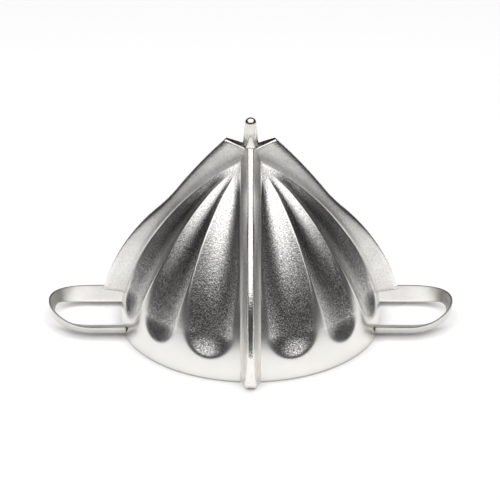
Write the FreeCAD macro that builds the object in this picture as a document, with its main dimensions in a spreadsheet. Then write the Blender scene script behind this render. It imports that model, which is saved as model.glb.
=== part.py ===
import FreeCAD, Part
import math
import os
import types

import Sketcher

# A hand citrus press: a fluted bell with four tall blades, a piercing pin on top and a finger loop
# at each side. The bell stands on its drum at Z = 0, centred on the Z axis, the loops lie along X
# and the front blade points along -Y.

doc = FreeCAD.newDocument("citrus_press")
sheet = doc.addObject("Spreadsheet::Sheet", "sizes")

# Driving dimensions, in millimetres and degrees.
DRIVING = {
    # The bell is one arc turned about Z. Its arc is centred beyond the axis and below the floor.
    "bell_radius": 76.9,
    "bell_centre_offset": 33.45,
    "bell_centre_drop": 11.75,
    "bell_top": 55.9,
    "bell_wall": 4.4,
    "bell_crown": 5.5,
    "drum_radius": 41.4,
    # Three flutes in each quarter, between two ridges and a narrow land along each blade root.
    "root_land": 0.6,
    "ridge_share": 0.354,
    "flute_depth_share": 0.40,
    "flute_foot": 7.2,
    "outer_flute_end": 7.05,
    "middle_flute_end": 6.0,
    # Blades: a cross of two plates, thinned towards the edge that cuts.
    "blade_thickness": 5.2,
    "blade_edge": 1.8,
    "blade_bevel": 4.4,
    "blade_reach": 46.8,
    "blade_crown": 62.0,
    "crown_reach": 7.5,
    "blade_undercut": 10.5,
    "waist_upper_reach": 23.1,
    "waist_upper": 44.9,
    "waist_lower_reach": 29.5,
    "waist_lower": 38.2,
    "shoulder_radius": 137.0,
    "waist_radius": 50.0,
    "flank_radius": 57.0,
    "foot_radius": 3.0,
    "halving": 30.0,
    # Piercing pin and the bolt that clamps the stack.
    "pin_seat": 59.9,
    "pin_base_radius": 2.5,
    "pin_neck_radius": 1.8,
    "pin_ball_radius": 1.85,
    "pin_top": 68.8,
    "bolt_radius": 1.5,
    "bolt_clearance": 0.1,
    "bolt_grip": 62.2,
    "bolt_head_radius": 3.0,
    "bolt_head_height": 2.0,
    "bolt_head_recess": 0.3,
    "socket_width": 2.5,
    "washer_radius": 3.2,
    "washer_thickness": 0.5,
    # Base plate, the flange that it is screwed to, and its screws.
    "plate_radius": 38.0,
    "plate_thickness": 4.0,
    "flange_radius": 30.0,
    "flange_thickness": 3.0,
    "plate_screw_circle": 34.0,
    "plate_screw_radius": 1.25,
    "plate_screw_head": 2.5,
    "plate_screw_length": 6.4,
    "plate_screw_slot": 0.6,
    "plate_screw_spread": 42.0,
    # Finger loops: a dished strip bent to a U, pinned to the drum wall. The rim is the outer edge at
    # the top, and the foot is the flat underside. Both are swept up at the far end.
    "loop_centre": 49.45,
    "loop_rim_radius": 14.85,
    "loop_rim_thickness": 0.8,
    "loop_foot_half_width": 13.5,
    "loop_foot_reach": 14.5,
    "loop_foot_thickness": 6.6,
    "loop_end_thickness": 1.9,
    "loop_base": 1.3,
    "loop_height": 2.8,
    "loop_rim_lift": 2.8,
    "loop_foot_lift": 1.7,
    "loop_pin_radius": 0.6,
    "loop_pin_length": 8.0,
    "loop_pin_cover": 0.6,
}

for row, (alias, value) in enumerate(DRIVING.items(), start=1):
    sheet.set(f"A{row}", alias)
    sheet.set(f"B{row}", str(value))
    sheet.setAlias(f"B{row}", alias)
doc.recompute()


class Size:
    """A length that carries its value and the sheet formula that gives it."""

    def __init__(self, value, formula):
        self.value = value
        self.formula = formula

    def __add__(self, other):
        other = as_size(other)
        return Size(self.value + other.value, f"({self.formula} + {other.formula})")

    def __sub__(self, other):
        other = as_size(other)
        return Size(self.value - other.value, f"({self.formula} - {other.formula})")

    def __mul__(self, other):
        other = as_size(other)
        return Size(self.value * other.value, f"({self.formula} * {other.formula})")

    def __truediv__(self, other):
        other = as_size(other)
        return Size(self.value / other.value, f"({self.formula} / {other.formula})")

    def __neg__(self):
        return Size(-self.value, f"(-1 * {self.formula})")


def as_size(number):
    return number if isinstance(number, Size) else Size(float(number), repr(float(number)))


def square_root(size):
    return Size(math.sqrt(size.value), f"sqrt({size.formula})")


sizes = {alias: Size(getattr(sheet, alias), f"sizes.{alias}") for alias in DRIVING}
dim = types.SimpleNamespace(**sizes)
ZERO = as_size(0)
TOLERANCE = 0.01
half_blade = dim.blade_thickness / 2


def bind(feature, **sizes):
    """Bind properties of a feature to the sheet; a double underscore stands for a dot."""
    for name, size in sizes.items():
        feature.setExpression(name.replace("__", "."), as_size(size).formula)


def new_body(label):
    return doc.addObject("PartDesign::Body", label)


def origin_plane(body, role):
    return next(feature for feature in body.Origin.OriginFeatures if feature.Role == role)


def arc_between(start, end, radius, clockwise):
    """Return the short arc between two points, drawn anticlockwise."""
    if clockwise:
        start, end = end, start
    chord = end - start
    left = FreeCAD.Vector(-chord.y, chord.x, 0).normalize()
    rise = math.sqrt(max(radius ** 2 - (chord.Length / 2) ** 2, 0))
    centre = (start + end) / 2 + left * rise
    circle = Part.Circle(centre, FreeCAD.Vector(0, 0, 1), radius)
    return Part.ArcOfCircle(circle, circle.parameter(start), circle.parameter(end))


def draw_outline(body, name, role, corners):
    """Sketch a closed outline. A corner is (x, y), or (x, y, radius, turn) where an arc leads to it.

    The turn is "cw" or "ccw", and every corner and radius is bound to the sheet.
    """
    sketch = body.newObject("Sketcher::SketchObject", name)
    sketch.AttachmentSupport = (origin_plane(body, role), [""])
    sketch.MapMode = "FlatFace"
    points = [(as_size(corner[0]), as_size(corner[1])) for corner in corners]
    places = [FreeCAD.Vector(x.value, y.value, 0) for x, y in points]
    ends = []
    for index, corner in enumerate(corners):
        start, end = places[index - 1], places[index]
        if len(corner) == 2:
            edge = sketch.addGeometry(Part.LineSegment(start, end))
            ends.append((edge, 1, 2))
            continue
        radius, turn = corner[2:]
        edge = sketch.addGeometry(arc_between(start, end, radius.value, turn == "cw"))
        ends.append((edge, 2, 1) if turn == "cw" else (edge, 1, 2))
        count = sketch.addConstraint(Sketcher.Constraint("Radius", edge, radius.value))
        sketch.setExpression(f"Constraints[{count}]", radius.formula)
    for index, (x, y) in enumerate(points):
        edge, _, tail = ends[index]
        follower, head, _ = ends[(index + 1) % len(ends)]
        sketch.addConstraint(Sketcher.Constraint("Coincident", edge, tail, follower, head))
        for kind, size, axis in (("DistanceX", x, -2), ("DistanceY", y, -1)):
            if size.value == 0:
                sketch.addConstraint(Sketcher.Constraint("PointOnObject", edge, tail, axis))
                continue
            count = sketch.addConstraint(Sketcher.Constraint(kind, -1, 1, edge, tail, size.value))
            sketch.setExpression(f"Constraints[{count}]", size.formula)
    return sketch


def draw_circle(body, name, role, radius):
    """Sketch a circle about the origin of a body's plane."""
    sketch = body.newObject("Sketcher::SketchObject", name)
    sketch.AttachmentSupport = (origin_plane(body, role), [""])
    sketch.MapMode = "FlatFace"
    up = FreeCAD.Vector(0, 0, 1)
    edge = sketch.addGeometry(Part.Circle(FreeCAD.Vector(0, 0, 0), up, radius.value))
    sketch.addConstraint(Sketcher.Constraint("Coincident", edge, 3, -1, 1))
    count = sketch.addConstraint(Sketcher.Constraint("Radius", edge, radius.value))
    sketch.setExpression(f"Constraints[{count}]", radius.formula)
    return sketch


def pad(body, name, sketch, length, symmetric=False):
    feature = body.newObject("PartDesign::Pad", name)
    feature.Profile = sketch
    feature.SideType = "Symmetric" if symmetric else "One side"
    bind(feature, Length=length)
    return feature


def pocket_through(body, name, sketch):
    """Cut a sketch right through a body, both ways."""
    feature = body.newObject("PartDesign::Pocket", name)
    feature.Profile = sketch
    feature.SideType = "Symmetric"
    feature.Type = "ThroughAll"
    return feature


def revolve(body, name, sketch):
    """Turn a sketch drawn on the XZ plane about the Z axis."""
    feature = body.newObject("PartDesign::Revolution", name)
    feature.Profile = sketch
    feature.ReferenceAxis = (sketch, ["V_Axis"])
    feature.Angle = 360
    return feature


def boolean(kind, label, base, tool):
    feature = doc.addObject(f"Part::{kind}", label)
    feature.Base = base
    feature.Tool = tool
    return feature


def mirrored(label, source, normal):
    feature = doc.addObject("Part::Mirroring", label)
    feature.Source = source
    feature.Normal = normal
    return feature


# Blades: two plates that cross in a halving joint on the axis. Each has a seat for the pin, a crown
# that rises away from it, and an edge of three arcs. The side blade stops short above the finger
# loops, and the front and back blade runs down to a rounded foot.

def mirrored_outline(right_side):
    """Return the right side of an outline, drawn clockwise from the top, with its mirror image."""
    corners = list(right_side)
    for index in range(len(right_side) - 1, -1, -1):
        arc = right_side[index + 1][2:] if index + 1 < len(right_side) else ()
        corners.append((-right_side[index][0], right_side[index][1], *arc))
    return corners


CUTTING_EDGE = [
    (dim.pin_base_radius, dim.pin_seat),
    (dim.crown_reach, dim.blade_crown),
    (dim.waist_upper_reach, dim.waist_upper, dim.shoulder_radius, "cw"),
    (dim.waist_lower_reach, dim.waist_lower, dim.waist_radius, "ccw"),
    (dim.blade_reach, dim.blade_undercut, dim.flank_radius, "cw"),
]

STOPPED_END = [
    (dim.drum_radius, dim.blade_undercut),
    (dim.drum_radius, ZERO),
]

FOOTED_END = [
    (dim.blade_reach, dim.foot_radius),
    (dim.blade_reach - dim.foot_radius, ZERO, dim.foot_radius, "cw"),
]

PLATE_SEAT = [
    (dim.plate_radius, ZERO),
    (dim.plate_radius, dim.plate_thickness),
]


def cutting_edges(shape, across):
    """Name the edges of a plate's two faces that follow its cutting edge."""
    names = []
    lowest = dim.blade_undercut.value
    for number, edge in enumerate(shape.Edges, start=1):
        middle = edge.valueAt((edge.FirstParameter + edge.LastParameter) / 2)
        on_face = abs(abs(middle[across]) - half_blade.value) < TOLERANCE
        curved = isinstance(edge.Curve, Part.Circle)
        if on_face and curved and middle.z > lowest:
            names.append(f"Edge{number}")
    return names


def build_blade(label, role, across, lower_end, slot_low, slot_high):
    """Make a blade plate, thin its cutting edge, and cut its halving slot and bolt hole."""
    body = new_body(label)
    right_side = CUTTING_EDGE + lower_end + PLATE_SEAT
    outline = draw_outline(body, f"{label}_outline", role, mirrored_outline(right_side))
    plate = pad(body, f"{label}_plate", outline, dim.blade_thickness, symmetric=True)
    doc.recompute()
    bevel = body.newObject("PartDesign::Chamfer", f"{label}_bevel")
    bevel.Base = (plate, cutting_edges(plate.Shape, across))
    bevel.ChamferType = "Two distances"
    bind(bevel, Size=(dim.blade_thickness - dim.blade_edge) / 2, Size2=dim.blade_bevel)
    doc.recompute()
    slot_side = [(half_blade, slot_high), (half_blade, slot_low)]
    slot = draw_outline(body, f"{label}_slot", role, mirrored_outline(slot_side))
    pocket_through(body, f"{label}_halving", slot)
    hole = draw_circle(body, f"{label}_bore", "XY_Plane", dim.bolt_radius + dim.bolt_clearance)
    pocket_through(body, f"{label}_bolt_hole", hole)
    return body


side_blade = build_blade("side_blade", "XZ_Plane", 1, STOPPED_END, ZERO, dim.halving)
front_back_blade = build_blade(
    "front_back_blade", "YZ_Plane", 0, FOOTED_END, dim.halving, dim.blade_crown + dim.blade_thickness
)


# Base plate screws: countersunk, two to a quarter. Their blanks are made first, because the blank's
# own shape also cuts the holes in the plate and in the shells' flange.

def ring_of(label, source, radius, azimuths):
    """Copy a shape that stands on the Z axis to places round a circle, as separate solids."""
    out = FreeCAD.Placement(FreeCAD.Vector(radius.value, 0, 0), FreeCAD.Rotation())
    solids = []
    for azimuth in azimuths:
        turn = FreeCAD.Placement(FreeCAD.Vector(), FreeCAD.Rotation(FreeCAD.Vector(0, 0, 1), azimuth))
        solid = source.Shape.copy()
        solid.Placement = turn * out * solid.Placement
        solids.append(solid)
    group = doc.addObject("Part::Feature", label)
    group.Shape = Part.makeCompound(solids)
    return group


SCREW_AZIMUTHS = [
    quarter * 90 + 45 + side * dim.plate_screw_spread.value / 2 for quarter in range(4) for side in (-1, 1)
]

screw_body = new_body("plate_screw")
head_height = dim.plate_screw_head - dim.plate_screw_radius
screw_profile = [
    (ZERO, ZERO),
    (ZERO, dim.plate_screw_length),
    (dim.plate_screw_radius, dim.plate_screw_length),
    (dim.plate_screw_radius, head_height),
    (dim.plate_screw_head, ZERO),
]
screw_outline = draw_outline(screw_body, "plate_screw_profile", "XZ_Plane", screw_profile)
revolve(screw_body, "plate_screw_turned", screw_outline)

driver_slot = doc.addObject("Part::Box", "driver_slot")
bind(
    driver_slot,
    Length=dim.plate_screw_head * 2,
    Width=dim.plate_screw_slot,
    Height=dim.plate_screw_slot,
    Placement__Base__x=-dim.plate_screw_head,
    Placement__Base__y=-dim.plate_screw_slot / 2,
)
doc.recompute()
screw_blanks = ring_of("screw_blanks", screw_body, dim.plate_screw_circle, SCREW_AZIMUTHS)
driver_slots = ring_of("driver_slots", driver_slot, dim.plate_screw_circle, SCREW_AZIMUTHS)
base_screws = boolean("Cut", "base_screws", screw_blanks, driver_slots)


# Fluted bell: an arc turned about Z, with the drum wall below it and a flange inside its foot. It is
# split into four quarter shells by the blades, and each quarter has three flutes that end round.

def bell_reach(height, inset):
    """Return the radius of the bell's arc at a height, a given distance inside its face."""
    rise = height + dim.bell_centre_drop
    radius = dim.bell_radius - inset
    return square_root(radius * radius - rise * rise) - dim.bell_centre_offset


shoulder_rise = square_root(
    dim.bell_radius * dim.bell_radius
    - (dim.drum_radius + dim.bell_centre_offset) * (dim.drum_radius + dim.bell_centre_offset)
)
shoulder = shoulder_rise - dim.bell_centre_drop
cavity_floor = dim.plate_thickness + dim.flange_thickness
cavity_top = dim.bell_top - dim.bell_crown

bell = new_body("bell")
bell_profile = [
    (bell_reach(dim.bell_top, ZERO), dim.bell_top),
    (dim.drum_radius, shoulder, dim.bell_radius, "cw"),
    (dim.drum_radius, ZERO),
    (dim.plate_radius, ZERO),
    (dim.plate_radius, dim.plate_thickness),
    (dim.flange_radius, dim.plate_thickness),
    (dim.flange_radius, cavity_floor),
    (bell_reach(cavity_floor, dim.bell_wall), cavity_floor),
    (bell_reach(cavity_top, dim.bell_wall), cavity_top, dim.bell_radius - dim.bell_wall, "ccw"),
]
revolve(bell, "bell_turned", draw_outline(bell, "bell_profile", "XZ_Plane", bell_profile))

quarter = doc.addObject("Part::Box", "quarter")
bind(
    quarter,
    Length=dim.drum_radius,
    Width=dim.drum_radius,
    Height=dim.bell_top,
    Placement__Base__x=-(dim.drum_radius + half_blade),
    Placement__Base__y=-(dim.drum_radius + half_blade),
)
quarter_bell = boolean("Common", "quarter_bell", bell, quarter)


def flute_section(slope, azimuth, half_width):
    """Return a flute cutter's centre, its direction along the flute and its radius.

    The slope is the angle up the bell's arc, and the cutter sinks in by a share of its half width.
    """
    depth = half_width * dim.flute_depth_share.value
    radius = (half_width ** 2 + depth ** 2) / (2 * depth)
    stand_off = dim.bell_radius.value + radius - depth
    outward = FreeCAD.Vector(-math.sin(azimuth), -math.cos(azimuth), 0)
    up = FreeCAD.Vector(0, 0, 1)
    centre = outward * (stand_off * math.cos(slope) - dim.bell_centre_offset.value)
    centre += up * (stand_off * math.sin(slope) - dim.bell_centre_drop.value)
    along = up * math.cos(slope) - outward * math.sin(slope)
    return centre, along, radius


FLUTE_STATIONS = (6.0, 9.0, 13.0, 18.0, 24.0, 30.0, 34.5)
LAST_STATION_SHARE = 0.94


def cut_flute(first_ridge, second_ridge, end_half_width):
    """Loft a flute cutter down the bell between two ridges, closed by a ball at its foot.

    A ridge is the function that gives its azimuth at a radius.
    """
    sections = []
    for reach in FLUTE_STATIONS:
        slope = math.acos((reach + dim.bell_centre_offset.value) / dim.bell_radius.value)
        low, high = first_ridge(reach), second_ridge(reach)
        share = LAST_STATION_SHARE if reach == FLUTE_STATIONS[-1] else 1.0
        sections.append(flute_section(slope, (low + high) / 2, share * reach * (high - low) / 2))
    foot_slope = math.asin((dim.flute_foot.value + dim.bell_centre_drop.value) / dim.bell_radius.value)
    end_slope = foot_slope + end_half_width.value / dim.bell_radius.value
    reach = dim.drum_radius.value
    azimuth = (first_ridge(reach) + second_ridge(reach)) / 2
    sections.append(flute_section(end_slope, azimuth, end_half_width.value))
    rings = [Part.Wire(Part.Circle(centre, along, radius).toShape()) for centre, along, radius in sections]
    centre, _, radius = sections[-1]
    return Part.makeLoft(rings, True).fuse(Part.makeSphere(radius, centre))


def front_root(reach):
    return math.asin((half_blade.value + dim.root_land.value) / reach)


def front_ridge(reach):
    root = front_root(reach)
    return root + dim.ridge_share.value * (math.pi / 2 - 2 * root)


def side_ridge(reach):
    return math.pi / 2 - front_ridge(reach)


def side_root(reach):
    return math.pi / 2 - front_root(reach)


flutes = doc.addObject("Part::Feature", "flutes")
flutes.Shape = Part.makeCompound([
    cut_flute(front_root, front_ridge, dim.outer_flute_end),
    cut_flute(front_ridge, side_ridge, dim.middle_flute_end),
    cut_flute(side_ridge, side_root, dim.outer_flute_end),
])
fluted_quarter = boolean("Cut", "fluted_quarter", quarter_bell, flutes)


# Finger loops: a strip bent to a U. Its legs are broad and dished towards the opening, and its far end
# is narrow and swept up off the table. The legs are cut to the drum wall and pinned there.

LEG_STATIONS = (36.0, 40.0, 44.0, 47.0)
END_TURNS = range(0, 181, 15)
ROUND = 1.0
SQUARED = 0.65

rim_top = dim.loop_base + dim.loop_height
rim_inside = dim.loop_rim_radius - dim.loop_rim_thickness
opening_reach = dim.loop_foot_reach - dim.loop_end_thickness
opening_half_width = dim.loop_foot_half_width - dim.loop_foot_thickness
LOOP_EDGES = [
    (dim.loop_rim_radius, dim.loop_rim_radius, ROUND, rim_top, dim.loop_rim_lift),
    (rim_inside, rim_inside, ROUND, rim_top, dim.loop_rim_lift),
    (opening_reach, opening_half_width, SQUARED, dim.loop_base, dim.loop_foot_lift),
    (dim.loop_foot_reach, dim.loop_foot_half_width, ROUND, dim.loop_base, dim.loop_foot_lift),
]


def loop_section(along, turn):
    """Return the loop's closed section at a place along its legs, or at a turn round its far end."""
    outward, across = math.sin(turn), math.cos(turn)
    corners = []
    for reach, half_width, power, height, lift in LOOP_EDGES:
        x = along + reach.value * abs(outward) ** power
        y = half_width.value * math.copysign(abs(across) ** power, across)
        corners.append(FreeCAD.Vector(x, y, height.value + lift.value * outward ** 2))
    return Part.makePolygon(corners + corners[:1])


back_leg = [loop_section(along, 0.0) for along in LEG_STATIONS]
far_end = [loop_section(dim.loop_centre.value, math.radians(turn)) for turn in END_TURNS]
front_leg = [loop_section(along, math.pi) for along in reversed(LEG_STATIONS)]
loop_strip = doc.addObject("Part::Feature", "loop_strip")
loop_strip.Shape = Part.makeLoft(back_leg + far_end + front_leg, True)

drum_core = doc.addObject("Part::Cylinder", "drum_core")
bind(drum_core, Radius=dim.drum_radius, Height=dim.loop_base + dim.loop_height * 2)
loop_blank = boolean("Cut", "loop_blank", loop_strip, drum_core)

pin_height = dim.loop_base + dim.loop_height * 0.4
leg_outside = (dim.loop_rim_radius + dim.loop_foot_half_width) / 2
leg_thickness = (dim.loop_rim_thickness + dim.loop_foot_thickness) / 2
pin_offset = leg_outside - leg_thickness / 2
pin_start = square_root(dim.plate_radius * dim.plate_radius - pin_offset * pin_offset) + dim.loop_pin_cover
right_back_pin = doc.addObject("Part::Cylinder", "right_back_pin")
right_back_pin.Placement.Rotation = FreeCAD.Rotation(FreeCAD.Vector(0, 1, 0), 90)
bind(
    right_back_pin,
    Radius=dim.loop_pin_radius,
    Height=dim.loop_pin_length,
    Placement__Base__x=pin_start,
    Placement__Base__y=pin_offset,
    Placement__Base__z=pin_height,
)
ACROSS_X = FreeCAD.Vector(1, 0, 0)
ACROSS_Y = FreeCAD.Vector(0, 1, 0)
right_front_pin = mirrored("right_front_pin", right_back_pin, ACROSS_Y)
left_back_pin = mirrored("left_back_pin", right_back_pin, ACROSS_X)
left_front_pin = mirrored("left_front_pin", right_front_pin, ACROSS_X)
loop_pins = doc.addObject("Part::Compound", "loop_pins")
loop_pins.Links = [right_back_pin, right_front_pin, left_back_pin, left_front_pin]

right_handle = boolean("Cut", "right_handle", loop_blank, loop_pins)
left_handle = mirrored("left_handle", right_handle, ACROSS_X)

drilled_quarter = boolean("Cut", "drilled_quarter", fluted_quarter, screw_blanks)
front_left_shell = boolean("Cut", "front_left_shell", drilled_quarter, loop_pins)
front_right_shell = mirrored("front_right_shell", front_left_shell, ACROSS_X)
back_left_shell = mirrored("back_left_shell", front_left_shell, ACROSS_Y)
back_right_shell = mirrored("back_right_shell", front_right_shell, ACROSS_Y)


# Clamping stack on the axis: a base plate inside the drum, a socket-head bolt and washer in its
# counterbore, and the piercing pin that the bolt screws into above the blades.

head_top = dim.bolt_head_recess + dim.bolt_head_height
plate_body = new_body("plate_blank")
plate_rim = draw_circle(plate_body, "plate_rim", "XY_Plane", dim.plate_radius)
pad(plate_body, "plate_disc", plate_rim, dim.plate_thickness)
counterbore_rim = draw_circle(
    plate_body, "counterbore_rim", "XY_Plane", dim.washer_radius + dim.bolt_clearance
)
counterbore = plate_body.newObject("PartDesign::Pocket", "plate_counterbore")
counterbore.Profile = counterbore_rim
counterbore.Reversed = True
bind(counterbore, Length=head_top + dim.washer_thickness)
plate_bore = draw_circle(plate_body, "plate_bore", "XY_Plane", dim.bolt_radius + dim.bolt_clearance)
pocket_through(plate_body, "plate_bolt_hole", plate_bore)
base_plate = boolean("Cut", "base_plate", plate_body, screw_blanks)

tie_bolt = new_body("tie_bolt")
bolt_profile = [
    (ZERO, dim.bolt_head_recess),
    (ZERO, dim.bolt_grip),
    (dim.bolt_radius, dim.bolt_grip),
    (dim.bolt_radius, head_top),
    (dim.bolt_head_radius, head_top),
    (dim.bolt_head_radius, dim.bolt_head_recess),
]
revolve(tie_bolt, "bolt_turned", draw_outline(tie_bolt, "bolt_profile", "XZ_Plane", bolt_profile))
hexagon_corner = dim.socket_width / square_root(as_size(3))
hexagon_flat = dim.socket_width / 2
hexagon = [
    (hexagon_corner, ZERO),
    (hexagon_corner / 2, hexagon_flat),
    (-hexagon_corner / 2, hexagon_flat),
    (-hexagon_corner, ZERO),
    (-hexagon_corner / 2, -hexagon_flat),
    (hexagon_corner / 2, -hexagon_flat),
]
socket_outline = draw_outline(tie_bolt, "socket_outline", "XY_Plane", hexagon)
socket = tie_bolt.newObject("PartDesign::Pocket", "bolt_socket")
socket.Profile = socket_outline
socket.Reversed = True
bind(socket, Length=dim.bolt_head_recess + dim.bolt_head_height / 2)

washer_disc = doc.addObject("Part::Cylinder", "washer_disc")
bind(washer_disc, Radius=dim.washer_radius, Height=dim.washer_thickness, Placement__Base__z=head_top)
washer_hole = doc.addObject("Part::Cylinder", "washer_hole")
bind(
    washer_hole,
    Radius=dim.bolt_radius + dim.bolt_clearance,
    Height=dim.washer_thickness,
    Placement__Base__z=head_top,
)
tie_washer = boolean("Cut", "tie_washer", washer_disc, washer_hole)

piercing_pin = new_body("piercing_pin")
ball_centre = dim.pin_top - dim.pin_ball_radius
neck_drop = square_root(
    dim.pin_ball_radius * dim.pin_ball_radius - dim.pin_neck_radius * dim.pin_neck_radius
)
pin_profile = [
    (dim.bolt_radius, dim.pin_seat),
    (dim.pin_base_radius, dim.pin_seat),
    (dim.pin_neck_radius, ball_centre - neck_drop),
    (ZERO, dim.pin_top, dim.pin_ball_radius, "ccw"),
    (ZERO, dim.bolt_grip),
    (dim.bolt_radius, dim.bolt_grip),
]
revolve(piercing_pin, "pin_turned", draw_outline(piercing_pin, "pin_profile", "XZ_Plane", pin_profile))
doc.recompute()


# Hand-over: every feature has to be sound before a piece is written.

PIECES = [
    side_blade,
    front_back_blade,
    front_left_shell,
    front_right_shell,
    back_left_shell,
    back_right_shell,
    base_plate,
    base_screws,
    tie_bolt,
    tie_washer,
    piercing_pin,
    left_handle,
    right_handle,
    loop_pins,
]

for feature in doc.Objects:
    if "Invalid" in feature.State or "Error" in feature.State:
        raise RuntimeError(f"{feature.Label} did not build: {feature.State}")

os.makedirs("parts", exist_ok=True)
for piece in PIECES:
    if piece.Shape.isNull() or not piece.Shape.isValid():
        raise RuntimeError(f"{piece.Label} has no sound shape")
    piece.Shape.exportStep(f"parts/{piece.Label}.step")
    print(f"{piece.Label}: {len(piece.Shape.Solids)} solid, {piece.Shape.Volume:.0f} mm3")
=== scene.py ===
import math

import bmesh
import bpy
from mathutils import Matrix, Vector


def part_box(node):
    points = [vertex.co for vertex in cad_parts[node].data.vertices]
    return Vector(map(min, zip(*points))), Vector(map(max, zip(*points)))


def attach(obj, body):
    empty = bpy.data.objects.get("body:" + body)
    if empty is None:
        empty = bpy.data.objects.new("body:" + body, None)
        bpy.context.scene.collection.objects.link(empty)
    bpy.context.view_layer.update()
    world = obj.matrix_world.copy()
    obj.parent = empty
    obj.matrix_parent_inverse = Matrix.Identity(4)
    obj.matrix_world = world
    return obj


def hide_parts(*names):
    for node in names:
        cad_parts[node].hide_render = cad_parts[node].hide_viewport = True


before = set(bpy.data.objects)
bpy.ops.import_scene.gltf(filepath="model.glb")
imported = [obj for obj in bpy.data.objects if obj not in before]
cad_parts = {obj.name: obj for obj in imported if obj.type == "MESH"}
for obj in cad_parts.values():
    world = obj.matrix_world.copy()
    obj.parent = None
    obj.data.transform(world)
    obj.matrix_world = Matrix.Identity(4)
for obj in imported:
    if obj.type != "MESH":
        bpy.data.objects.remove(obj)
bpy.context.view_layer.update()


# Crossed blades: two plates of cast aluminium, halved into each other on the axis. Their faces are
# linished to a satin grain, and the thinned edges that cut the fruit are rubbed bright. The side blade
# stops short above the finger loops, and the front and back blade runs down to rounded feet.

MM = 0.001


def linear(hex_colour):
    """Turn an sRGB hex colour into linear red, green, blue and alpha."""
    channels = [int(hex_colour[i:i + 2], 16) / 255 for i in (1, 3, 5)]
    return [c / 12.92 if c <= 0.04045 else ((c + 0.055) / 1.055) ** 2.4 for c in channels] + [1.0]


def add_node(tree, kind, inputs=None, **settings):
    """Add a shader node. An input given as a socket is linked, and any other value is set."""
    node = tree.nodes.new(kind)
    for name, value in settings.items():
        setattr(node, name, value)
    for name, value in (inputs or {}).items():
        if isinstance(value, bpy.types.NodeSocket):
            tree.links.new(value, node.inputs[name])
        else:
            node.inputs[name].default_value = value
    return node


def start_material(name):
    """Return a new material, its node tree and its coordinates in the part's own frame."""
    material = bpy.data.materials.new(name)
    material.use_nodes = True
    tree = material.node_tree
    tree.nodes.clear()
    place = add_node(tree, "ShaderNodeTexCoord").outputs["Object"]
    return material, tree, place


def finish_material(tree, **inputs):
    """Close a material with a principled surface."""
    sockets = {name.replace("_", " "): value for name, value in inputs.items()}
    surface = add_node(tree, "ShaderNodeBsdfPrincipled", sockets)
    add_node(tree, "ShaderNodeOutputMaterial", {"Surface": surface.outputs["BSDF"]})


def satin_aluminium():
    """Linished cast aluminium: pale, with a fine broken grain. Edges marked as rubbed shine and are dented.

    The real grain is near 0.1 mm, too fine to show, so it is drawn coarser.
    """
    grain = 0.5 * MM
    cloud = 5 * MM
    material, tree, place = start_material("satin_linished_aluminium")
    scratches = add_node(
        tree, "ShaderNodeTexNoise", {"Vector": place, "Scale": 1 / grain, "Detail": 3.0, "Roughness": 0.65}
    ).outputs["Fac"]
    clouds = add_node(
        tree, "ShaderNodeTexNoise", {"Vector": place, "Scale": 1 / cloud, "Detail": 4.0}
    ).outputs["Fac"]
    blend = add_node(tree, "ShaderNodeMix", {"Factor": 0.3, "A": scratches, "B": clouds}).outputs["Result"]
    speckle = add_node(
        tree, "ShaderNodeMapRange", {"Value": blend, "From Min": 0.36, "From Max": 0.64}
    ).outputs["Result"]
    # A mix of colours takes them at inputs 6 and 7 and gives its result at output 2.
    tint = add_node(
        tree,
        "ShaderNodeMix",
        {"Factor": speckle, 6: linear("#dcdad6"), 7: linear("#fdfbf7")},
        data_type="RGBA",
    ).outputs[2]
    rubbed = add_node(tree, "ShaderNodeAttribute", attribute_name="rubbed").outputs["Fac"]
    satin = add_node(
        tree, "ShaderNodeMapRange", {"Value": scratches, "To Min": 0.32, "To Max": 0.46}
    ).outputs["Result"]
    roughness = add_node(
        tree, "ShaderNodeMapRange", {"Value": rubbed, "To Min": satin, "To Max": 0.13}
    ).outputs["Result"]
    dents = add_node(
        tree, "ShaderNodeMapRange", {"Value": rubbed, "To Min": 0.25, "To Max": 0.7}
    ).outputs["Result"]
    relief = add_node(
        tree, "ShaderNodeBump", {"Height": scratches, "Strength": dents, "Distance": 0.07 * MM}
    ).outputs["Normal"]
    finish_material(tree, Base_Color=tint, Metallic=1.0, Roughness=roughness, Normal=relief)
    return material


def place_piece(name, mesh, material, node):
    """Put a new piece in the scene, riding on the press in the place of a node of the frame."""
    piece = bpy.data.objects.new(name, mesh)
    bpy.context.scene.collection.objects.link(piece)
    mesh.materials.append(material)
    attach(piece, "root")
    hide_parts(node)


def band_mesh(name, islands):
    """Skin islands into one smooth mesh. An island is a list of rings of points, closed at both ends."""
    points, faces = [], []
    for rings in islands:
        first, count, last = len(points), len(rings[0]), len(rings) - 1
        for ring in rings:
            points += ring
        for i in range(last):
            for j in range(count):
                low = first + i * count
                k = (j + 1) % count
                faces.append((low + j, low + k, low + count + k, low + count + j))
        faces.append(tuple(first + j for j in reversed(range(count))))
        faces.append(tuple(first + last * count + j for j in range(count)))
    mesh = bpy.data.meshes.new(name)
    mesh.from_pydata(points, [], faces)
    solid = bmesh.new()
    solid.from_mesh(mesh)
    bmesh.ops.recalc_face_normals(solid, faces=solid.faces)
    solid.to_mesh(mesh)
    solid.free()
    for polygon in mesh.polygons:
        polygon.use_smooth = len(polygon.vertices) == 4
    return mesh


def mark_points(mesh, name, values):
    """Store a number at each point of a mesh, for its material to read."""
    mesh.attributes.new(name, "FLOAT", "POINT").data.foreach_set("value", values)


def smooth_step(value):
    """Ease a value from 0 to 1, level at both ends."""
    value = min(max(value, 0.0), 1.0)
    return value * value * (3 - 2 * value)


# The bell's arc and the skirt below it, which the blades stand on.
BELL_RADIUS = 76.9 * MM
BELL_OFFSET = 33.45 * MM
BELL_DROP = 11.75 * MM
DRUM_RADIUS = 41.4 * MM
SKIRT_TOP = 14 * MM
SKIRT_EDGE = 0.8 * MM

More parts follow.
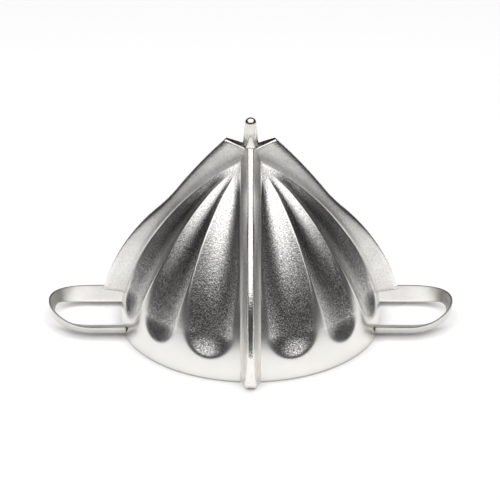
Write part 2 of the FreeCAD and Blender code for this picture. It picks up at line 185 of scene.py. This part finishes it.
# The cutting edge, as (reach, height): a shoulder, a waist and a flank, each one arc.
CROWN = Vector((7.5, 62.0)) * MM
PIN_SEAT = Vector((2.5, 59.9)) * MM
UPPER_WAIST = Vector((23.1, 44.9)) * MM
LOWER_WAIST = Vector((29.5, 38.2)) * MM
UNDERCUT = Vector((46.8, 10.5)) * MM
SHOULDER_RADIUS = 137 * MM
WAIST_RADIUS = 50 * MM
FLANK_RADIUS = 57 * MM
FOOT_RADIUS = 3.0 * MM
EDGE_STEPS = 26

# A wing's section, from its edge inwards: a rounded edge, a flank that thickens, and a fillet.
EDGE_HALF = 0.9 * MM
FOOT_HALF = 1.5 * MM
EDGE_ROUNDING = ((0.0, 0.55), (0.06 * MM, 0.82), (0.3 * MM, 1.0))
FLANK_SHARES = (0.25, 0.5, 0.75, 0.88, 0.96)
FILLET_START = 0.75
ROOT_FILLET = 0.35 * MM
ROOT_SPREADS = (1.3 * ROOT_FILLET, 1.6 * ROOT_FILLET)
ROOT_DIP = 0.2 * MM
BURIED = 0.9 * MM
LEAST_DEPTH = 2.5 * MM
MOST_DEPTH = 12 * MM
DEPTH_STEP = 0.05 * MM

blade_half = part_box("front_back_blade")[1].x


def arc_points(start, end, radius, bulge):
    """List points along the short arc between two points, on the side that the bulge's sign gives."""
    chord = end - start
    across = Vector((-chord.y, chord.x)).normalized() * bulge
    centre = (start + end) / 2 - across * math.sqrt(radius ** 2 - chord.length_squared / 4)
    first = start - centre
    sweep = (end - centre).angle_signed(first)
    points = []
    for i in range(EDGE_STEPS + 1):
        cosine, sine = math.cos(sweep * i / EDGE_STEPS), math.sin(sweep * i / EDGE_STEPS)
        points.append(centre + Vector((
            first.x * cosine - first.y * sine,
            first.x * sine + first.y * cosine,
        )))
    return points


def bell_reach(height):
    """Return the radius of the bell, or of the drum below it, at a height."""
    rise = height + BELL_DROP
    return min(math.sqrt(max(BELL_RADIUS ** 2 - rise ** 2, 0)) - BELL_OFFSET, DRUM_RADIUS)


def skirt_reach(height):
    """Return the radius of the skirt, which leaves the bell's arc and straightens up towards the floor."""
    tuck = max(SKIRT_EDGE - height, 0.0)
    rounding = SKIRT_EDGE - math.sqrt(SKIRT_EDGE ** 2 - tuck ** 2)
    lean_in = (DRUM_RADIUS - bell_reach(SKIRT_TOP)) * (height / SKIRT_TOP) ** 2
    return DRUM_RADIUS - lean_in - rounding


def depth_to_bell(point, inward):
    """Return how far it is from a blade's edge to the bell, going inward."""
    depth = 0.0
    while depth < MOST_DEPTH and (point + inward * depth).x > bell_reach((point + inward * depth).y):
        depth += DEPTH_STEP
    return depth


def wing_outline(footed):
    """List the cutting edge of a wing from its crown down, each point with its inward direction."""
    edge = arc_points(CROWN, UPPER_WAIST, SHOULDER_RADIUS, 1)
    edge += arc_points(UPPER_WAIST, LOWER_WAIST, WAIST_RADIUS, -1)[1:]
    edge += arc_points(LOWER_WAIST, UNDERCUT, FLANK_RADIUS, 1)[1:]
    to_pin = (PIN_SEAT - CROWN).normalized()
    level = Vector((-1, 0))
    outline = []
    for i, point in enumerate(edge):
        along = edge[min(i + 1, len(edge) - 1)] - edge[max(i - 1, 0)]
        inward = Vector((along.y, -along.x)).normalized()
        inward = inward.lerp(to_pin, smooth_step(1 - i / EDGE_STEPS))
        flat = smooth_step((i - len(edge) + EDGE_STEPS) / EDGE_STEPS)
        outline.append((point, inward.lerp(level, flat).normalized()))
    if footed:
        heel = Vector((UNDERCUT.x - FOOT_RADIUS, FOOT_RADIUS))
        turns = [math.pi / 2 * i / EDGE_STEPS for i in range(EDGE_STEPS + 1)]
        foot = [heel + FOOT_RADIUS * Vector((math.cos(turn), -math.sin(turn))) for turn in turns]
        outline += [(point, level) for point in foot]
    return outline


def wing_rings(footed, side, place):
    """Build the sections of one wing, thin at its edge and filleted into the bell at its root."""
    rings = []
    for i, (point, inward) in enumerate(wing_outline(footed)):
        depth = max(depth_to_bell(point, inward), LEAST_DEPTH)
        foot = smooth_step((UNDERCUT.y - point.y) / UNDERCUT.y)
        edge_half = EDGE_HALF + (FOOT_HALF - EDGE_HALF) * foot
        section = [(sink, share * edge_half) for sink, share in EDGE_ROUNDING]
        for share in FLANK_SHARES:
            turn_out = max(share - FILLET_START, 0) / (FLANK_SHARES[-1] - FILLET_START)
            flank = edge_half + (blade_half - edge_half) * share
            section.append((depth * share, flank + ROOT_FILLET * turn_out ** 2))
        spread = ROOT_SPREADS[0] + (ROOT_SPREADS[1] - ROOT_SPREADS[0]) * smooth_step(i / EDGE_STEPS)
        section.append((depth + ROOT_DIP, blade_half + spread))
        section.append((depth + BURIED, blade_half + spread))
        half = [(point + inward * sink, width) for sink, width in section]
        ring = [place(side * spot.x, width, spot.y) for spot, width in half]
        ring += [place(side * spot.x, -width, spot.y) for spot, width in reversed(half)]
        rings.append(ring)
    return rings


# The tip in which a footed wing runs up the piercing pin, the concave fillet in the corner between two
# wings, and the drum wall that shows below a wing that stops short.
TIP_BOTTOM = Vector((3.1, 59.0)) * MM
TIP_TOP = Vector((2.2, 64.2)) * MM
TIP_HALF = 1.9 * MM
TIP_POINT = 0.03
TIP_CAMBER = 0.25
TIP_BURIED = 1.2 * MM
TIP_STEPS = 8
CORNER_FOOT = 52 * MM
CORNER_RADIUS = 4.2 * MM
CORNER_THINNING = 0.95
CORNER_TOP_HALF = 1.1 * MM
CORNER_ROWS = 8
CORNER_STEPS = 12
WALL_HALF = 3.3 * MM
WALL_DEPTH = 3.0 * MM
WALL_RECESS = 0.03 * MM
WALL_STEPS = 16


def tip_rings(side, place):
    """Build the cambered, pointed tip of a wing on the pin."""
    rings = []
    for i in range(TIP_STEPS + 1):
        share = i / TIP_STEPS
        spot = TIP_BOTTOM.lerp(TIP_TOP, share)
        half = TIP_HALF * (1 - (1 - TIP_POINT) * share)
        columns = [half * (2 * j / TIP_STEPS - 1) for j in range(TIP_STEPS + 1)]
        ring = [place(side * (spot.x - abs(across) * TIP_CAMBER), across, spot.y) for across in columns]
        ring += [place(side * TIP_BURIED, across / 2, spot.y) for across in reversed(columns)]
        rings.append(ring)
    return rings


def wall_rings(side, place):
    """Build the strip of drum wall below a wing, a hair behind the shells beside it."""
    columns = [WALL_HALF * (2 * j / WALL_STEPS - 1) for j in range(WALL_STEPS + 1)]
    rings = []
    for i in range(WALL_STEPS + 1):
        height = SKIRT_TOP * (1 - i / WALL_STEPS)
        reach = skirt_reach(height) - WALL_RECESS
        ring = [place(side * math.sqrt(reach ** 2 - across ** 2), across, height) for across in columns]
        ring += [place(side * (reach - WALL_DEPTH), across, height) for across in reversed(columns)]
        rings.append(ring)
    return rings


def corner_rings(flip_x, flip_y):
    """Build the concave fillet between two wings, which thins out up to the pin's seat."""
    turns = [math.pi * (1 + j / CORNER_STEPS / 2) for j in range(CORNER_STEPS + 1)]
    rings = []
    for i in range(CORNER_ROWS + 1):
        share = i / CORNER_ROWS
        height = CORNER_FOOT + (PIN_SEAT.y - CORNER_FOOT) * share
        radius = CORNER_RADIUS * (1 - CORNER_THINNING * share ** 2)
        centre = blade_half + (CORNER_TOP_HALF - blade_half) * share + radius
        plan = [(centre + radius * math.cos(turn), centre + radius * math.sin(turn)) for turn in turns]
        plan = [(0.0, centre)] + plan + [(centre, 0.0), (0.0, 0.0)]
        rings.append([(flip_x * x, flip_y * y, height) for x, y in plan])
    return rings


def along_x(reach, across, height):
    return (reach, across, max(height, 0.0))


def along_y(reach, across, height):
    return (across, reach, max(height, 0.0))


RUBBED_COLUMNS = 3

blade_metal = satin_aluminium()
for name, node, footed, place in (
    ("side_wings", "side_blade", False, along_x),
    ("front_back_wings", "front_back_blade", True, along_y),
):
    wings = [wing_rings(footed, side, place) for side in (-1, 1)]
    count = len(wings[0][0])
    edge_marks = [float(min(j, count - 1 - j) < RUBBED_COLUMNS) for j in range(count)]
    rubbed = edge_marks * 2 * len(wings[0])
    ends = [tip_rings(side, place) if footed else wall_rings(side, place) for side in (-1, 1)]
    rubbed += [float(footed)] * 2 * len(ends[0]) * len(ends[0][0])
    islands = wings + ends
    if footed:
        corners = [corner_rings(x, y) for x, y in ((1, 1), (-1, 1), (1, -1), (-1, -1))]
        rubbed += [0.0] * len(corners) * len(corners[0]) * len(corners[0][0])
        islands += corners
    blade_mesh = band_mesh(name, islands)
    mark_points(blade_mesh, "rubbed", rubbed)
    place_piece(name, blade_mesh, blade_metal, node)


# Fluted quarter shells: four aluminium castings between the blades, each screwed down from below. Three
# scooped flutes start in one head and end round above a plain skirt. They keep their blasted grain, and
# the ridges between them are rubbed bright.

ROOT_LAND = 0.6 * MM
RIDGE_SHARE = 0.354
FLUTE_DEPTH_SHARE = 0.40
FLUTE_FOOT = 7.2 * MM
FLUTE_ENDS = (7.3 * MM, 6.4 * MM, 7.3 * MM)
FLOOR_RISES = (0.36, 0.46, 0.41)
TAPER_SLOPE = math.radians(42)
HEAD_SLOPES = (math.radians(51), math.radians(57.5))
LEAST_HALF = 0.05 * MM
LEAST_SPAN = math.radians(0.1)
LIP_ROUNDING = 0.45 * MM
LIP_LEAD = 0.35
RIDGE_ROUNDING = 0.6 * MM
SHELL_WALL = 3.0 * MM
LEAST_RADIUS = 0.2 * MM
TOP_CLEARANCE = 1.02
FLUTE_COLUMNS = 36
BELL_ROWS = 150
SKIRT_ROWS = 84

bore_ratio = (1 + FLUTE_DEPTH_SHARE ** 2) / (2 * FLUTE_DEPTH_SHARE)
rim_slope = 1 / math.sqrt(bore_ratio ** 2 - 1)
foot_slope = math.asin((FLUTE_FOOT + BELL_DROP) / BELL_RADIUS)


def flute_edges(reach):
    """Return the azimuths of the blade root, the two ridges and the other blade root, at a radius."""
    root = math.asin(min((blade_half + ROOT_LAND) / reach, math.sqrt(0.5)))
    span = math.pi / 2 - 2 * root
    return [root, root + RIDGE_SHARE * span, root + (1 - RIDGE_SHARE) * span, math.pi / 2 - root]


def flute_depth(slope, reach, azimuth):
    """Return how deep the flutes are cut below the bell's arc, and how far into a flute a point lies.

    A flute is a round bore that narrows down the bell, with a floor that rises towards its round end.
    Near the top the three flutes merge into one shallow head.
    """
    edges = flute_edges(reach)
    depth = 0.0
    inside = 0.0
    for low, high, end_half, floor_rise in zip(edges, edges[1:], FLUTE_ENDS, FLOOR_RISES):
        end_slope = foot_slope + end_half / BELL_RADIUS
        fall = (TAPER_SLOPE - slope) / (TAPER_SLOPE - end_slope)
        ridge_half = max(reach * (high - low) / 2, LEAST_HALF)
        width = ridge_half + (end_half - ridge_half) * smooth_step(fall)
        scale = ridge_half * (1 - floor_rise * max(fall, 0.0) ** 2)
        across = reach * (azimuth - (low + high) / 2)
        below = max(end_slope - slope, 0.0) * BELL_RADIUS
        share = math.hypot(across, below) / width
        if share <= 1:
            cut = scale * (math.sqrt(bore_ratio ** 2 - share ** 2) - math.sqrt(bore_ratio ** 2 - 1))
        else:
            cut = -scale * rim_slope * (share - 1)
        near_end = smooth_step(below / end_half + LIP_LEAD)
        rounding = RIDGE_ROUNDING + (LIP_ROUNDING - RIDGE_ROUNDING) * near_end
        rounding *= min(width / end_half, 1)
        depth = max(depth, (cut + math.hypot(cut, rounding)) / 2)
        inside = max(inside, cut / (scale * FLUTE_DEPTH_SHARE))
    head = smooth_step((slope - HEAD_SLOPES[0]) / (HEAD_SLOPES[1] - HEAD_SLOPES[0]))
    span = max(edges[-1] - edges[0], LEAST_SPAN)
    hollow = 1 - min(abs(azimuth - math.pi / 4) / (span / 2), 1.0) ** 2
    head_depth = max(reach * span / 2 / len(FLUTE_ENDS), LEAST_HALF) * FLUTE_DEPTH_SHARE * hollow
    return depth + (head_depth - depth) * head, inside + (hollow - inside) * head


def shell_columns(reach):
    """Return the azimuths of a row of the shell, gathered at the blade roots and ridges."""
    wall = math.asin(min(blade_half / reach, math.sqrt(0.5)))
    edges = flute_edges(reach)
    columns = [wall, (wall + edges[0]) / 2]
    for low, high in zip(edges, edges[1:]):
        columns += [low + (high - low) * i / FLUTE_COLUMNS for i in range(FLUTE_COLUMNS)]
    return columns + [edges[-1], math.pi / 2 - (wall + edges[0]) / 2, math.pi / 2 - wall]


def shell_rows():
    """List the rows of a shell from its top corner to the floor.

    A row is its slope along the bell's arc, its own lean, its radius and its height.
    """
    top_reach = math.hypot(blade_half, blade_half) * TOP_CLEARANCE
    top_slope = math.acos((top_reach + BELL_OFFSET) / BELL_RADIUS)
    skirt_slope = math.asin((SKIRT_TOP + BELL_DROP) / BELL_RADIUS)
    skirt_fall = DRUM_RADIUS - bell_reach(SKIRT_TOP)
    rows = []
    for i in range(BELL_ROWS):
        slope = top_slope + (skirt_slope - top_slope) * i / BELL_ROWS
        reach = BELL_RADIUS * math.cos(slope) - BELL_OFFSET
        rows.append((slope, slope, reach, BELL_RADIUS * math.sin(slope) - BELL_DROP))
    for i in range(SKIRT_ROWS + 1):
        share = 1 - i / SKIRT_ROWS
        height = SKIRT_TOP * share
        lean = math.atan(2 * skirt_fall * share / SKIRT_TOP)
        rows.append((math.asin((height + BELL_DROP) / BELL_RADIUS), lean, skirt_reach(height), height))
    return rows


def shell_mesh(name, flip_x, flip_y):
    """Build one closed quarter shell, marked with how far each point lies inside a flute."""
    outside, inside_wall, scoops = [], [], []
    rows = shell_rows()
    for slope, lean, reach, height in rows:
        for azimuth in shell_columns(reach):
            depth, scoop = flute_depth(slope, reach, azimuth)
            for points, sink in ((outside, depth), (inside_wall, depth + SHELL_WALL)):
                radius = max(reach - sink * math.cos(lean), LEAST_RADIUS)
                points.append((
                    -flip_x * radius * math.sin(azimuth),
                    -flip_y * radius * math.cos(azimuth),
                    max(height - sink * math.sin(lean), 0.0),
                ))
            scoops.append(min(max(scoop, 0.0), 1.0))
    count = len(shell_columns(DRUM_RADIUS))
    last = len(rows) - 1
    below = len(outside)
    faces = []
    for i in range(last):
        for j in range(count - 1):
            quad = (i * count + j, i * count + j + 1, (i + 1) * count + j + 1, (i + 1) * count + j)
            faces.append(quad)
            faces.append(tuple(below + k for k in reversed(quad)))
    smooth_faces = len(faces)
    for i in range(last):
        for j, turn in ((0, 1), (count - 1, -1)):
            quad = (i * count + j, (i + 1) * count + j, below + (i + 1) * count + j, below + i * count + j)
            faces.append(quad[::turn])
    for j in range(count - 1):
        for i, turn in ((0, -1), (last, 1)):
            quad = (i * count + j, i * count + j + 1, below + i * count + j + 1, below + i * count + j)
            faces.append(quad[::turn])
    if flip_x * flip_y > 0:
        faces = [face[::-1] for face in faces]
    mesh = bpy.data.meshes.new(name)
    mesh.from_pydata(outside + inside_wall, [], faces)
    mesh.update()
    for polygon in mesh.polygons:
        polygon.use_smooth = polygon.index < smooth_faces
    mark_points(mesh, "scoop", scoops + [0.0] * below)
    return mesh


def blasted_aluminium():
    """Bead-blasted cast aluminium: sparkling pitting in the flutes. Their tone is painted paler towards the
    top as painted light and darker low down as painted shade.

    Ridges and skirt are rubbed smooth. Real pitting is near 0.1 mm, too fine to show, and is drawn coarser.
    """
    grit = 0.42 * MM
    cloud = 7 * MM
    material, tree, place = start_material("bead_blasted_aluminium")
    scoop = add_node(tree, "ShaderNodeAttribute", attribute_name="scoop").outputs["Fac"]
    in_flute = add_node(
        tree,
        "ShaderNodeMapRange",
        {"Value": scoop, "From Min": 0.02, "From Max": 0.3},
        interpolation_type="SMOOTHSTEP",
    ).outputs["Result"]
    grains = add_node(
        tree, "ShaderNodeTexNoise", {"Vector": place, "Scale": 1 / grit, "Detail": 3.0, "Roughness": 0.7}
    ).outputs["Fac"]
    clouds = add_node(
        tree, "ShaderNodeTexNoise", {"Vector": place, "Scale": 1 / cloud, "Detail": 4.0}
    ).outputs["Fac"]
    speckle = add_node(
        tree, "ShaderNodeMapRange", {"Value": grains, "From Min": 0.38, "From Max": 0.62}
    ).outputs["Result"]
    # Painted light: the dark grain tone runs from dark low on the flutes to pale high up. It is a painted
    # highlight where the upper flutes face the softbox, and painted shade lower down.
    height = add_node(tree, "ShaderNodeSeparateXYZ", {"Vector": place}).outputs["Z"]
    painted_light_by_height = add_node(
        tree, "ShaderNodeMapRange", {"Value": height, "From Min": 18 * MM, "From Max": 46 * MM}
    ).outputs["Result"]
    pit_tone_and_painted_light = add_node(
        tree,
        "ShaderNodeMix",
        {"Factor": painted_light_by_height, 6: linear("#82807d"), 7: linear("#d2d0cd")},
        data_type="RGBA",
    ).outputs[2]
    pitted_and_painted_light = add_node(
        tree, "ShaderNodeMix", {"Factor": speckle, 6: pit_tone_and_painted_light, 7: linear("#fdfbf8")}, data_type="RGBA"
    ).outputs[2]
    rubbed = add_node(
        tree,
        "ShaderNodeMix",
        {"Factor": clouds, 6: linear("#e2e0dc"), 7: linear("#efede9")},
        data_type="RGBA",
    ).outputs[2]
    tint = add_node(
        tree, "ShaderNodeMix", {"Factor": in_flute, 6: rubbed, 7: pitted_and_painted_light}, data_type="RGBA"
    ).outputs[2]
    roughness = add_node(
        tree, "ShaderNodeMapRange", {"Value": in_flute, "To Min": 0.24, "To Max": 0.19}
    ).outputs["Result"]
    strength = add_node(
        tree, "ShaderNodeMapRange", {"Value": in_flute, "To Min": 0.1, "To Max": 0.72}
    ).outputs["Result"]
    relief = add_node(
        tree, "ShaderNodeBump", {"Height": grains, "Strength": strength, "Distance": 0.1 * MM}
    ).outputs["Normal"]
    finish_material(tree, Base_Color=tint, Metallic=1.0, Roughness=roughness, Normal=relief)
    return material


shell_metal = blasted_aluminium()
for name, flip_x, flip_y in (
    ("front_left_shell", 1, 1),
    ("front_right_shell", -1, 1),
    ("back_left_shell", 1, -1),
    ("back_right_shell", -1, -1),
):
    fluted_mesh = shell_mesh(f"fluted_{name}", flip_x, flip_y)
    place_piece(f"fluted_{name}", fluted_mesh, shell_metal, name)


# Base plate: a turned aluminium disc that closes the drum from below. It is linished like the blades.
# The screws of the shells and the tie bolt go up through it.

def finish_node(name, material):
    """Give a node of the frame its only material."""
    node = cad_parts[name]
    node.data.materials.clear()
    node.data.materials.append(material)


finish_node("base_plate", blade_metal)


# Tie bolt, washer, base screws and loop pins: plain turned steel, out of sight in use. The bolt clamps
# the blades between the base plate and the piercing pin, and the pins hold the finger loops.

def turned_steel():
    """Turned steel: grey, with the rings that the tool leaves.

    The real rings are near 0.25 mm apart, too fine to show, so they are drawn coarser.
    """
    ring_spacing = 1.57 * MM
    wave_phase = 20
    material, tree, place = start_material("turned_steel")
    rings = add_node(
        tree,
        "ShaderNodeTexWave",
        {"Vector": place, "Scale": 2 * math.pi / (wave_phase * ring_spacing), "Distortion": 0.4},
        wave_type="RINGS",
        rings_direction="Z",
    ).outputs["Fac"]
    tint = add_node(
        tree,
        "ShaderNodeMix",
        {"Factor": rings, 6: linear("#b4b4b5"), 7: linear("#c8c8c9")},
        data_type="RGBA",
    ).outputs[2]
    relief = add_node(
        tree, "ShaderNodeBump", {"Height": rings, "Strength": 0.2, "Distance": 0.02 * MM}
    ).outputs["Normal"]
    finish_material(tree, Base_Color=tint, Metallic=1.0, Roughness=0.3, Normal=relief)
    return material


fastener_steel = turned_steel()
for name in ("tie_bolt", "tie_washer", "base_screws", "loop_pins"):
    finish_node(name, fastener_steel)


# Piercing pin: a tapered aluminium pin with a ball end, turned and then polished on a mop, which leaves
# soft waves. The tie bolt screws into it from below.

def polished_aluminium():
    """Mop-polished aluminium: a mirror bent by soft waves. Where a mesh is marked as dished it is satin."""
    wave = 7 * MM
    smear = 1.5 * MM
    material, tree, place = start_material("mop_polished_aluminium")
    waves = add_node(
        tree, "ShaderNodeTexNoise", {"Vector": place, "Scale": 1 / wave, "Detail": 1.0}
    ).outputs["Fac"]
    smears = add_node(
        tree, "ShaderNodeTexNoise", {"Vector": place, "Scale": 1 / smear, "Detail": 5.0}
    ).outputs["Fac"]
    dished = add_node(tree, "ShaderNodeAttribute", attribute_name="dished").outputs["Fac"]
    mirror = add_node(
        tree,
        "ShaderNodeMix",
        {"Factor": smears, 6: linear("#d4d2ce"), 7: linear("#e2e0dc")},
        data_type="RGBA",
    ).outputs[2]
    satin = add_node(
        tree,
        "ShaderNodeMix",
        {"Factor": smears, 6: linear("#dddbd7"), 7: linear("#ebe9e5")},
        data_type="RGBA",
    ).outputs[2]
    tint = add_node(
        tree, "ShaderNodeMix", {"Factor": dished, 6: mirror, 7: satin}, data_type="RGBA"
    ).outputs[2]
    polish = add_node(
        tree, "ShaderNodeMapRange", {"Value": smears, "To Min": 0.08, "To Max": 0.14}
    ).outputs["Result"]
    roughness = add_node(
        tree, "ShaderNodeMapRange", {"Value": dished, "To Min": polish, "To Max": 0.42}
    ).outputs["Result"]
    relief = add_node(
        tree, "ShaderNodeBump", {"Height": waves, "Strength": 0.35, "Distance": 0.4 * MM}
    ).outputs["Normal"]
    finish_material(tree, Base_Color=tint, Metallic=1.0, Roughness=roughness, Normal=relief)
    return material


PIN_NECK = Vector((1.8, 66.52)) * MM
BALL_RADIUS = 1.85 * MM
BALL_CENTRE = 66.95 * MM
BALL_ROWS = 14
PIN_STEPS = 48


def turned_rings(outline, steps):
    """Turn an outline of (radius, height) about Z."""
    turns = [2 * math.pi * i / steps for i in range(steps)]
    return [
        [(radius * math.cos(turn), radius * math.sin(turn), height) for turn in turns]
        for radius, height in outline
    ]


neck_turn = math.atan2(PIN_NECK.y - BALL_CENTRE, PIN_NECK.x)
pin_outline = [PIN_SEAT, PIN_NECK]
for i in range(1, BALL_ROWS):
    turn = neck_turn + (math.pi / 2 - neck_turn) * i / BALL_ROWS
    pin_outline.append((BALL_RADIUS * math.cos(turn), BALL_CENTRE + BALL_RADIUS * math.sin(turn)))

mirror_metal = polished_aluminium()
pin_mesh = band_mesh("turned_pin", [turned_rings(pin_outline, PIN_STEPS)])
place_piece("turned_pin", pin_mesh, mirror_metal, "piercing_pin")


# Finger loops: two aluminium castings, with broad legs that are dished towards the opening and a narrow
# far end that sweeps up for a fingertip. The rims are polished and the dished faces satin. Blind pins
# hold the legs in the drum wall.

LOOP_CENTRE = 49.45 * MM
LOOP_RIM = 14.85 * MM
LOOP_RIM_INSIDE = 14.05 * MM
LOOP_FOOT = (14.5 * MM, 13.5 * MM)
LOOP_OPENING = (12.6 * MM, 6.9 * MM)
OPENING_POWER = 0.65
LOOP_BASE = 1.3 * MM
LOOP_TOP = 4.1 * MM
BASE_LIFT = 1.7 * MM
TOP_LIFT = 2.8 * MM
LEG_BURIED = 2.5 * MM
LOOP_SQUARENESS = 5
LEG_STEPS = 22
END_STEPS = 64
SECTION_STEPS = 64
DISHED_SIDE = 0.5


def loop_ring(side, along, turn):
    """Return one rounded section of a loop, at a place along its legs or a turn round its far end."""
    outward, across = math.sin(turn), math.cos(turn)
    squared = (outward ** OPENING_POWER, math.copysign(abs(across) ** OPENING_POWER, across))
    rim = LOOP_RIM * Vector((outward, across))
    rim_inside = LOOP_RIM_INSIDE * Vector((outward, across))
    foot = Vector((LOOP_FOOT[0] * outward, LOOP_FOOT[1] * across))
    opening = Vector((LOOP_OPENING[0] * squared[0], LOOP_OPENING[1] * squared[1]))
    base = LOOP_BASE + BASE_LIFT * outward ** 2
    top = LOOP_TOP + TOP_LIFT * outward ** 2
    ring = []
    for i in range(SECTION_STEPS):
        angle = 2 * math.pi * i / SECTION_STEPS
        cosine, sine = math.cos(angle), math.sin(angle)
        size = (abs(cosine) ** LOOP_SQUARENESS + abs(sine) ** LOOP_SQUARENESS) ** (-1 / LOOP_SQUARENESS)
        out_share = (1 + size * cosine) / 2
        up_share = (1 + size * sine) / 2
        spot = opening.lerp(foot, out_share).lerp(rim_inside.lerp(rim, out_share), up_share)
        ring.append((side * (along + spot.x), spot.y, base + (top - base) * up_share))
    return ring


def loop_rings(side):
    """List the sections of a loop from the end of its back leg, round, to the end of its front leg."""
    start = DRUM_RADIUS - LEG_BURIED
    legs = [start + (LOOP_CENTRE - start) * i / LEG_STEPS for i in range(LEG_STEPS)]
    rings = [loop_ring(side, along, 0.0) for along in legs]
    rings += [loop_ring(side, LOOP_CENTRE, math.pi * i / END_STEPS) for i in range(END_STEPS + 1)]
    return rings + [loop_ring(side, along, math.pi) for along in reversed(legs)]


dished_marks = [float(math.cos(2 * math.pi * i / SECTION_STEPS) < DISHED_SIDE) for i in range(SECTION_STEPS)]
for name, side in (("left_handle", -1), ("right_handle", 1)):
    rings = loop_rings(side)
    loop_mesh = band_mesh(f"{name}_loop", [rings])
    mark_points(loop_mesh, "dished", dished_marks * len(rings))
    place_piece(f"{name}_loop", loop_mesh, mirror_metal, name)


# Studio: a sheet of matt white paper for a floor, one wide softbox overhead, and a dark room that is
# paler low down in front, as an open studio is.

def white_paper():
    """Matt white paper, plain white to the eye and in the metal. Its lift fades close to the press, as a
    painted contact shadow.
    """
    lift = 0.42
    contact = 4 * MM
    material, tree, _ = start_material("matt_white_paper")
    path = add_node(tree, "ShaderNodeLightPath").outputs
    seen = path["Is Camera Ray"]
    for ray in ("Is Glossy Ray", "Is Transmission Ray"):
        seen = add_node(tree, "ShaderNodeMath", {0: seen, 1: path[ray]}, operation="MAXIMUM").outputs[0]
    # Painted shadow: the lift is dimmed where the press stands close, so the floor darkens along the contact
    # line.
    painted_contact_shade = add_node(tree, "ShaderNodeAmbientOcclusion", {"Distance": contact}, samples=8).outputs["AO"]
    glow = add_node(tree, "ShaderNodeMath", {0: seen, 1: lift}, operation="MULTIPLY").outputs[0]
    glow = add_node(tree, "ShaderNodeMath", {0: glow, 1: painted_contact_shade}, operation="MULTIPLY").outputs[0]
    finish_material(
        tree,
        Base_Color=linear("#f4f4f4"),
        Roughness=0.9,
        Specular_IOR_Level=0.0,
        Emission_Color=linear("#ffffff"),
        Emission_Strength=glow,
    )
    return material


FLOOR_HALF = 4.0
floor_mesh = bpy.data.meshes.new("floor")
floor_corners = [(x * FLOOR_HALF, y * FLOOR_HALF, 0.0) for x, y in ((-1, -1), (1, -1), (1, 1), (-1, 1))]
floor_mesh.from_pydata(floor_corners, [], [(0, 1, 2, 3)])
floor = bpy.data.objects.new("floor", floor_mesh)
bpy.context.scene.collection.objects.link(floor)
floor.data.materials.append(white_paper())

SOFTBOX_WIDTH = 1.7
SOFTBOX_DEPTH = 1.5
SOFTBOX_RADIANCE = 1.35
SOFTBOX_PLACE = (0.0, -0.25, 0.85)
softbox = bpy.data.lights.new("softbox", "AREA")
softbox.shape = "RECTANGLE"
softbox.size = SOFTBOX_WIDTH
softbox.size_y = SOFTBOX_DEPTH
softbox.energy = SOFTBOX_RADIANCE * math.pi * SOFTBOX_WIDTH * SOFTBOX_DEPTH
softbox_stand = bpy.data.objects.new("softbox", softbox)
softbox_stand.location = SOFTBOX_PLACE
bpy.context.scene.collection.objects.link(softbox_stand)

FRONT_TO_BACK = (-0.1, 0.4)
LOW_TO_HIGH = (0.03, 0.13)
LOW_WALL = (0.8, 0.04)
HIGH_WALL = (0.07, 0.02)
room = bpy.data.worlds.new("dark_room_with_pale_front")
room.use_nodes = True
heading = add_node(room.node_tree, "ShaderNodeTexCoord").outputs["Generated"]
direction = add_node(room.node_tree, "ShaderNodeSeparateXYZ", {"Vector": heading}).outputs
low_wall, high_wall = [
    add_node(
        room.node_tree,
        "ShaderNodeMapRange",
        {
            "Value": direction["Y"],
            "From Min": FRONT_TO_BACK[0],
            "From Max": FRONT_TO_BACK[1],
            "To Min": front,
            "To Max": back,
        },
        interpolation_type="SMOOTHSTEP",
    ).outputs["Result"]
    for front, back in (LOW_WALL, HIGH_WALL)
]
walls = add_node(
    room.node_tree,
    "ShaderNodeMapRange",
    {
        "Value": direction["Z"],
        "From Min": LOW_TO_HIGH[0],
        "From Max": LOW_TO_HIGH[1],
        "To Min": low_wall,
        "To Max": high_wall,
    },
    interpolation_type="SMOOTHSTEP",
).outputs["Result"]
room.node_tree.links.new(walls, room.node_tree.nodes["Background"].inputs["Color"])
bpy.context.scene.world = room
bpy.context.scene.view_settings.view_transform = "Standard"


# Camera: a long lens straight in front of the press and a little above it, as in the photograph. The
# lens is worked out for a square frame.

VIEW_ELEVATION = math.radians(28.4)
VIEW_DISTANCE = 0.6
FOCAL_PIXELS = 1875
FRAME_PIXELS = 500
AIM = Vector((-0.2, 0.0, 24.0)) * MM

camera = bpy.data.cameras.new("camera")
camera.sensor_width = 36.0
camera.lens = camera.sensor_width * FOCAL_PIXELS / FRAME_PIXELS
camera_stand = bpy.data.objects.new("camera", camera)
camera_stand.location = (
    0.0,
    -VIEW_DISTANCE * math.cos(VIEW_ELEVATION),
    VIEW_DISTANCE * math.sin(VIEW_ELEVATION),
)
camera_stand.rotation_euler = (AIM - camera_stand.location).to_track_quat("-Z", "Y").to_euler()
bpy.context.scene.collection.objects.link(camera_stand)
bpy.context.scene.camera = camera_stand
